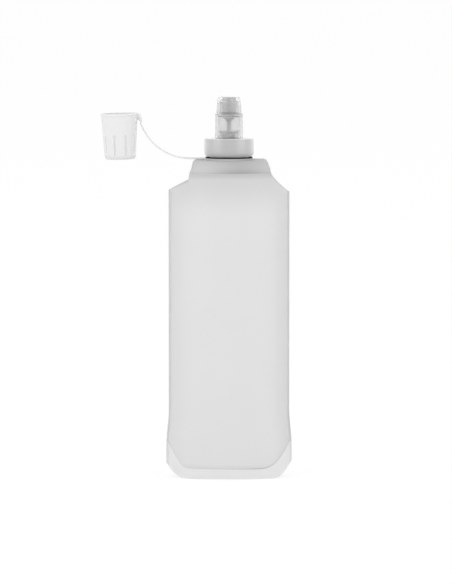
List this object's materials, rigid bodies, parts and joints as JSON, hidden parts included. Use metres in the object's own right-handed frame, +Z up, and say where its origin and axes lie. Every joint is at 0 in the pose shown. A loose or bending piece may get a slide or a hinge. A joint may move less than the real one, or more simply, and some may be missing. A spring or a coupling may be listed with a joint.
{
  "type": "foldable water bottle",
  "caption": "Stand-up soft flask of frosted film with a gusseted top and skirt, a screw collar, a clear push-pull bite valve and a fluted dust cap on a strap.",
  "frame": {"origin": "on the ground, below the middle of the flask and its hanging cap together", "axes": "+Z up along the valve, +X to the right across the flask's wide face, away from the cap, and +Y to the back"},
  "size_m": [0.1266, 0.0486, 0.2535],
  "materials": {
    "film": "frosted translucent film",
    "moulding": "milky moulded",
    "collar": "satin white moulded",
    "clear_valve": "clear glossy",
    "valve_core": "satin grey",
    "cap_plastic": "translucent satin",
    "ring_plastic": "dark satin",
    "silicone": "soft matte"
  },
  "bodies": {
    "flask": {"top_gusset": "film", "bottom_gusset": "film", "neck": "moulding"},
    "front_wall": {"front_panel": "film"},
    "back_wall": {"back_panel": "film"},
    "seal": {"neck_seal": "silicone"},
    "collar": {"screw_collar": "collar", "valve_base": "clear_valve", "valve_post": "valve_core", "spout_ring": "silicone"},
    "valve": {"spout_sleeve": "clear_valve", "bite_mouthpiece": "clear_valve"},
    "tether": {"tether_ring": "ring_plastic"},
    "strap_lower": {"tether_strap_lower": "cap_plastic"},
    "strap_upper": {"tether_strap_upper": "cap_plastic"},
    "cap_hanger": {"cap_lug": "cap_plastic"},
    "cap": {"dust_cap": "cap_plastic"}
  },
  "joints": [
    {"name": "bag_squeeze", "type": "slide", "parent": "flask", "child": "front_wall", "axis": [0, 1, 0], "range_m": [0, 0.0042], "stiffness_N_per_m": 40, "deforming": ["front_panel", "back_panel", "top_gusset", "bottom_gusset"]},
    {"name": "bag_squeeze_back", "type": "slide", "parent": "flask", "child": "back_wall", "axis": [0, -1, 0], "range_m": [0, 0.0042], "stiffness_N_per_m": 40},
    {"name": "collar_lift", "type": "slide", "parent": "flask", "child": "seal", "axis": [0, 0, 1], "range_m": [0, 0.008]},
    {"name": "collar_turn", "type": "hinge", "parent": "seal", "child": "collar", "pos_m": [0.0216, 0, 0.2251], "axis": [0, 0, 1], "range_deg": [0, 900]},
    {"name": "valve_pull", "type": "slide", "parent": "collar", "child": "valve", "axis": [0, 0, 1], "range_m": [0, 0.0022]},
    {"name": "tether_swivel", "type": "hinge", "parent": "flask", "child": "tether", "pos_m": [0.0216, 0, 0.212], "axis": [0, 0, 1], "continuous": true},
    {"name": "strap_swing", "type": "hinge", "parent": "tether", "child": "strap_lower", "pos_m": [0.0026, 0, 0.212], "axis": [0, -1, 0], "range_deg": [-63.24, 0], "deforming": ["tether_strap_lower"]},
    {"name": "strap_give", "type": "slide", "parent": "strap_lower", "child": "strap_upper", "axis": [-0.8929, 0, 0.4503], "range_m": [-0.01462, 0], "deforming": ["tether_strap_upper"]},
    {"name": "cap_flip", "type": "hinge", "parent": "strap_upper", "child": "cap_hanger", "pos_m": [-0.03695, 0, 0.2376], "axis": [0, -1, 0], "range_deg": [-116.76, 0]},
    {"name": "cap_press", "type": "slide", "parent": "cap_hanger", "child": "cap", "axis": [0, 0, -1], "range_m": [-0.01462, 0]}
  ],
  "couplings": [
    {"joint": "bag_squeeze_back", "follows": "bag_squeeze", "ratio": 1},
    {"joint": "collar_lift", "follows": "collar_turn", "m_per_rad": 0.0005093},
    {"joint": "cap_flip", "follows": "strap_swing", "ratio": 1.8463},
    {"joint": "strap_give", "follows": "cap_press", "ratio": 1}
  ]
}
